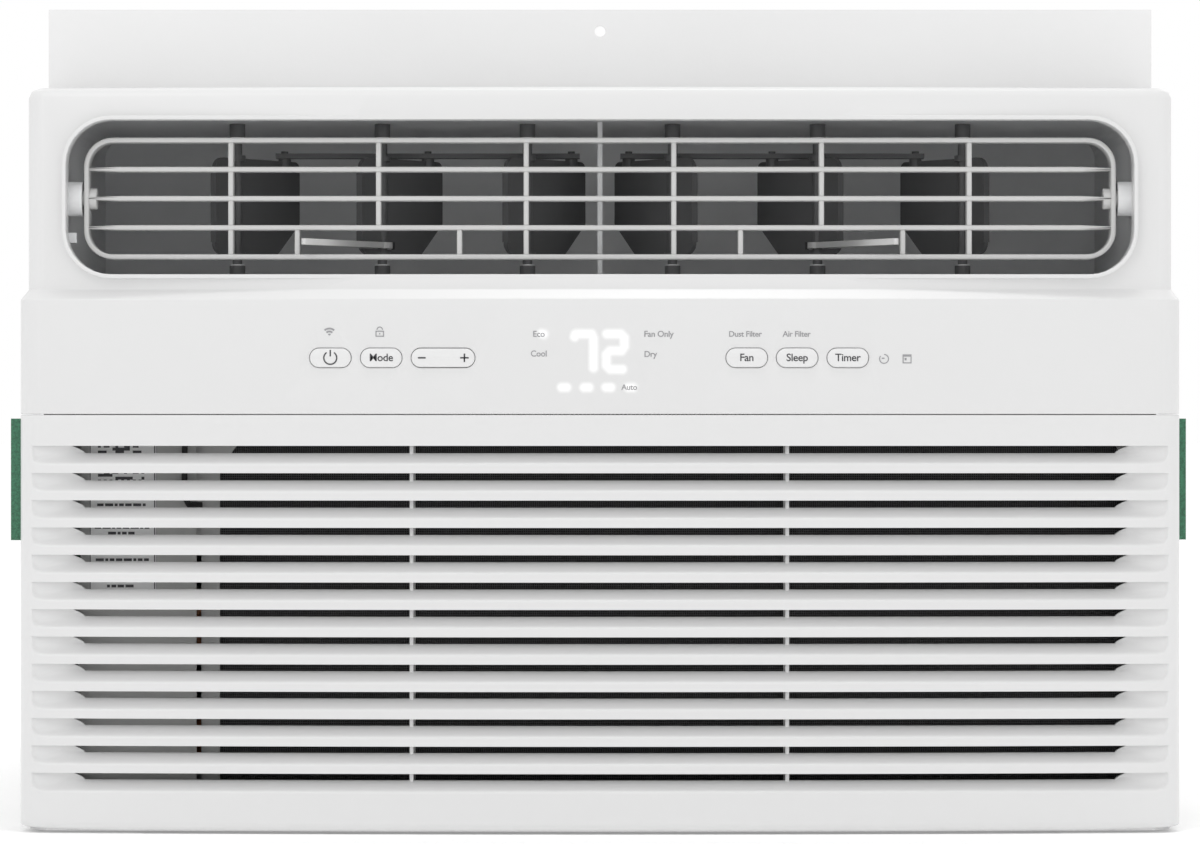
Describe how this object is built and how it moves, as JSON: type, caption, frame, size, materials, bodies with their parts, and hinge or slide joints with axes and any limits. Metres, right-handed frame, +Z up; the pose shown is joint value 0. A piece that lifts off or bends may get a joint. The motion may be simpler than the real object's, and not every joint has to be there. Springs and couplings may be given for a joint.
{
  "type": "window air conditioner",
  "caption": "Window air conditioner: bowed plastic front with tilting louvre frame, swinging vanes and slide-out filters on a steel case that holds its fans, coils and compressor.",
  "frame": {"origin": "centre of the footprint on the underside of the base pan, half-way between the front of the bow and the back of the case", "axes": "front faces -Y, +X is the right-hand side seen from the front, +Z up"},
  "size_m": [0.4786, 0.5461, 0.338],
  "materials": {
    "front_plastic": "fine satin moulded plastic, off-white",
    "button_plastic": "satin moulded plastic, off-white",
    "louvre_plastic": "satin moulded plastic, light grey",
    "duct_plastic": "matte moulded plastic, dark grey",
    "vane_plastic": "matte moulded plastic, dark grey",
    "tab_green": "matte speckled plastic, green",
    "filter_frame_plastic": "matte moulded plastic, light grey",
    "filter_mesh": "fine woven black mesh",
    "filter_media": "pleated non-woven media, dark grey",
    "inner_plastic": "matte moulded plastic, light grey",
    "foam_white": "moulded foam, off-white",
    "fan_plastic": "matte moulded plastic, black",
    "case_paint": "powder-coated sheet steel, off-white",
    "plated_steel": "galvanised sheet steel",
    "bright_steel": "bright steel",
    "fin_aluminium": "thin bare aluminium fins",
    "copper_tube": "bare drawn copper tube",
    "motor_paint": "dark enamel on steel",
    "compressor_paint": "black enamel on steel",
    "black_rubber": "matte black rubber",
    "circuit_board": "green circuit board with black components",
    "capacitor_can": "drawn aluminium can"
  },
  "bodies": {
    "chassis": {"base_pan": "plated_steel", "cabinet_shell": "case_paint", "front_fascia": "front_plastic", "intake_grille": "front_plastic", "display_board": "circuit_board", "louvre_bushes": "duct_plastic", "outlet_duct": "duct_plastic", "filter_rails": "inner_plastic", "label_plate": "inner_plastic", "room_sensor": "black_rubber", "evaporator_fins": "fin_aluminium", "evaporator_tubes": "copper_tube", "evaporator_plates": "plated_steel", "blower_scroll": "foam_white", "fan_motor": "motor_paint", "motor_bracket": "plated_steel", "fan_shroud": "plated_steel", "bulkhead": "plated_steel", "condenser_fins": "fin_aluminium", "condenser_tubes": "copper_tube", "condenser_plates": "plated_steel", "compressor": "compressor_paint", "accumulator": "compressor_paint", "compressor_grommets": "black_rubber", "compressor_bolts": "bright_steel", "suction_line": "copper_tube", "discharge_line": "copper_tube", "liquid_line": "copper_tube", "control_box": "inner_plastic", "main_board": "circuit_board", "run_capacitor": "capacitor_can", "cord_bushing": "black_rubber", "top_rail": "case_paint", "case_screws": "bright_steel"},
    "louvre_frame_body": {"louvre_frame": "louvre_plastic"},
    "left_vane_2": {"vane_left_2": "vane_plastic", "lever_left": "louvre_plastic"},
    "left_vane_1": {"vane_left_1": "vane_plastic"},
    "left_vane_3": {"vane_left_3": "vane_plastic"},
    "left_tie_bar": {"tie_bar_left": "vane_plastic"},
    "right_vane_2": {"vane_right_2": "vane_plastic", "lever_right": "louvre_plastic"},
    "right_vane_1": {"vane_right_1": "vane_plastic"},
    "right_vane_3": {"vane_right_3": "vane_plastic"},
    "right_tie_bar": {"tie_bar_right": "vane_plastic"},
    "power_key": {"power_button": "button_plastic"},
    "mode_key": {"mode_button": "button_plastic"},
    "temp_key": {"temp_rocker": "button_plastic"},
    "fan_key": {"fan_button": "button_plastic"},
    "sleep_key": {"sleep_button": "button_plastic"},
    "timer_key": {"timer_button": "button_plastic"},
    "dust_filter": {"dust_filter_frame": "filter_frame_plastic", "dust_filter_mesh": "filter_mesh", "dust_filter_tab": "tab_green"},
    "allergen_filter": {"allergen_filter_frame": "filter_frame_plastic", "allergen_filter_media": "filter_media", "allergen_filter_tab": "tab_green"},
    "fan_rotor": {"motor_shaft": "bright_steel", "blower_wheel": "fan_plastic", "condenser_fan": "fan_plastic"}
  },
  "joints": [
    {"name": "louvre_tilt", "type": "hinge", "parent": "chassis", "child": "louvre_frame_body", "pos_m": [0, -0.251, 0.2568], "axis": [1, 0, 0], "range_deg": [-20, 20]},
    {"name": "left_vanes", "type": "hinge", "parent": "chassis", "child": "left_vane_2", "pos_m": [-0.09, -0.222, 0.255], "axis": [0, 0, 1], "range_deg": [0, 72]},
    {"name": "left_vane_1_turn", "type": "hinge", "parent": "chassis", "child": "left_vane_1", "pos_m": [-0.03, -0.222, 0.255], "axis": [0, 0, 1], "range_deg": [0, 72]},
    {"name": "left_vane_3_turn", "type": "hinge", "parent": "chassis", "child": "left_vane_3", "pos_m": [-0.15, -0.222, 0.255], "axis": [0, 0, 1], "range_deg": [0, 72]},
    {"name": "left_tie_bar_turn", "type": "hinge", "parent": "left_vane_2", "child": "left_tie_bar", "pos_m": [-0.072, -0.20055, 0.2772], "axis": [0, 0, 1], "range_deg": [-72, 0]},
    {"name": "right_vanes", "type": "hinge", "parent": "chassis", "child": "right_vane_2", "pos_m": [0.09, -0.222, 0.255], "axis": [0, 0, -1], "range_deg": [0, 72]},
    {"name": "right_vane_1_turn", "type": "hinge", "parent": "chassis", "child": "right_vane_1", "pos_m": [0.03, -0.222, 0.255], "axis": [0, 0, -1], "range_deg": [0, 72]},
    {"name": "right_vane_3_turn", "type": "hinge", "parent": "chassis", "child": "right_vane_3", "pos_m": [0.15, -0.222, 0.255], "axis": [0, 0, -1], "range_deg": [0, 72]},
    {"name": "right_tie_bar_turn", "type": "hinge", "parent": "right_vane_2", "child": "right_tie_bar", "pos_m": [0.072, -0.20055, 0.2772], "axis": [0, 0, -1], "range_deg": [-72, 0]},
    {"name": "power_press", "type": "slide", "parent": "chassis", "child": "power_key", "axis": [0, 1, 0], "range_m": [0, 0.0008], "stiffness_N_per_m": 500, "springref_m": -0.001},
    {"name": "mode_press", "type": "slide", "parent": "chassis", "child": "mode_key", "axis": [0, 1, 0], "range_m": [0, 0.0008], "stiffness_N_per_m": 500, "springref_m": -0.001},
    {"name": "fan_press", "type": "slide", "parent": "chassis", "child": "fan_key", "axis": [0, 1, 0], "range_m": [0, 0.0008], "stiffness_N_per_m": 500, "springref_m": -0.001},
    {"name": "sleep_press", "type": "slide", "parent": "chassis", "child": "sleep_key", "axis": [0, 1, 0], "range_m": [0, 0.0008], "stiffness_N_per_m": 500, "springref_m": -0.001},
    {"name": "timer_press", "type": "slide", "parent": "chassis", "child": "timer_key", "axis": [0, 1, 0], "range_m": [0, 0.0008], "stiffness_N_per_m": 500, "springref_m": -0.001},
    {"name": "temp_rock", "type": "hinge", "parent": "chassis", "child": "temp_key", "pos_m": [-0.0631, -0.265, 0.1918], "axis": [0, 0, 1], "range_deg": [-2.5, 2.5], "stiffness_Nm_per_rad": 0.05},
    {"name": "dust_filter_slide", "type": "slide", "parent": "chassis", "child": "dust_filter", "axis": [-1, 0, 0], "range_m": [0, 0.46]},
    {"name": "allergen_filter_slide", "type": "slide", "parent": "chassis", "child": "allergen_filter", "axis": [1, 0, 0], "range_m": [0, 0.4]},
    {"name": "fan_spin", "type": "hinge", "parent": "chassis", "child": "fan_rotor", "pos_m": [0.03, 0, 0.14], "axis": [0, 1, 0], "continuous": true}
  ],
  "couplings": [
    {"joint": "left_vane_1_turn", "follows": "left_vanes", "ratio": 1},
    {"joint": "left_vane_3_turn", "follows": "left_vanes", "ratio": 1},
    {"joint": "left_tie_bar_turn", "follows": "left_vanes", "ratio": -1},
    {"joint": "right_vane_1_turn", "follows": "right_vanes", "ratio": 1},
    {"joint": "right_vane_3_turn", "follows": "right_vanes", "ratio": 1},
    {"joint": "right_tie_bar_turn", "follows": "right_vanes", "ratio": -1}
  ]
}
